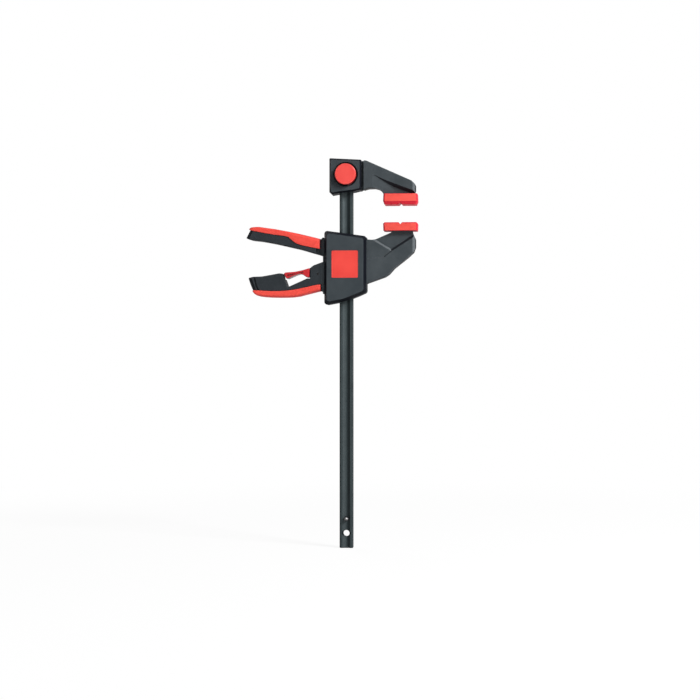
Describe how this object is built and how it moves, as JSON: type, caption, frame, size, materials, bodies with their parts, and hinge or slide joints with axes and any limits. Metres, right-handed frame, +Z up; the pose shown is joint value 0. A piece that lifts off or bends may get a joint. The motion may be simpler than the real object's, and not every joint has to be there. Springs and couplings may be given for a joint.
{
  "type": "bar clamp",
  "caption": "One-handed bar clamp with a profiled steel rail, grooved clamping pads, a pump lever, a release lever in the handle and a lock button in the head.",
  "frame": {"origin": "middle of the V-groove in the fixed jaw's clamping face, in the plane of that face", "axes": "+Z runs up the rail, from its foot to the fixed jaw; +X points from the rail towards the jaws' tips; -Y is the front, with the lock button and the badge plate"},
  "size_m": [0.2193, 0.037, 0.4975],
  "materials": {
    "black_plastic": "glass-filled nylon, matt, fine grain",
    "cover_plastic": "glass-filled nylon, matt, fine grain",
    "red_grip": "soft grip compound, satin",
    "red_plastic": "moulded, semi-gloss",
    "red_pad": "soft moulded pad, matt",
    "burnished_steel": "burnished dark, drawn lengthwise",
    "pin_steel": "zinc-plated, dull",
    "plate_steel": "hardened plate, plain",
    "spring_steel": "spring wire, oiled"
  },
  "bodies": {
    "head_and_rail": {"rail": "burnished_steel", "rail_stop_pin": "pin_steel", "fixed_jaw": "black_plastic", "head_front_cover": "cover_plastic", "head_rear_cover": "cover_plastic", "head_screws": "pin_steel", "fixed_jaw_pad": "red_pad", "button_spring": "spring_steel"},
    "lock_button": {"release_button": "red_plastic", "lock_pin": "pin_steel", "lock_pin_clip": "spring_steel"},
    "sliding_jaw": {"slide_body": "black_plastic", "front_cover": "cover_plastic", "rear_cover": "cover_plastic", "cover_screws": "pin_steel", "badge_plate": "red_plastic", "moving_jaw_pad": "red_pad", "handle_grip": "red_grip", "lever_pivot_pin": "pin_steel", "release_lever_pin": "pin_steel", "drive_spring": "spring_steel", "brake_spring": "spring_steel"},
    "pump_lever": {"pump_lever": "black_plastic", "pump_lever_grip": "red_grip"},
    "drive_plates": {"drive_plates": "plate_steel"},
    "release_lever": {"release_lever": "red_plastic"},
    "brake_plate": {"brake_plate": "plate_steel"}
  },
  "joints": [
    {"name": "jaw_slide", "type": "slide", "parent": "head_and_rail", "child": "sliding_jaw", "axis": [0, 0, 1], "range_m": [-0.274, 0.0222]},
    {"name": "button_press", "type": "slide", "parent": "head_and_rail", "child": "lock_button", "axis": [0, 1, 0], "range_m": [0, 0.005], "stiffness_N_per_m": 1200, "springref_m": -0.004, "deforming": ["button_spring"]},
    {"name": "lever_squeeze", "type": "hinge", "parent": "sliding_jaw", "child": "pump_lever", "pos_m": [-0.053, 0, -0.0559], "axis": [0, -1, 0], "range_deg": [0, 12], "stiffness_Nm_per_rad": 1.5, "springref_deg": -14.32},
    {"name": "drive_plate_slide", "type": "slide", "parent": "sliding_jaw", "child": "drive_plates", "axis": [0, 0, -1], "range_m": [0, 0.0061], "deforming": ["drive_spring"]},
    {"name": "release_press", "type": "hinge", "parent": "sliding_jaw", "child": "release_lever", "pos_m": [-0.1052, 0, -0.0878], "axis": [0, -1, 0], "range_deg": [0, 6], "stiffness_Nm_per_rad": 0.6, "springref_deg": -8.59},
    {"name": "brake_tilt", "type": "hinge", "parent": "sliding_jaw", "child": "brake_plate", "pos_m": [-0.054, 0, -0.0902], "axis": [0, 1, 0], "range_deg": [0, 3.76], "deforming": ["brake_spring"]}
  ],
  "couplings": [
    {"joint": "drive_plate_slide", "follows": "lever_squeeze", "m_per_rad": 0.02869},
    {"joint": "brake_tilt", "follows": "release_press", "ratio": 0.6247}
  ]
}
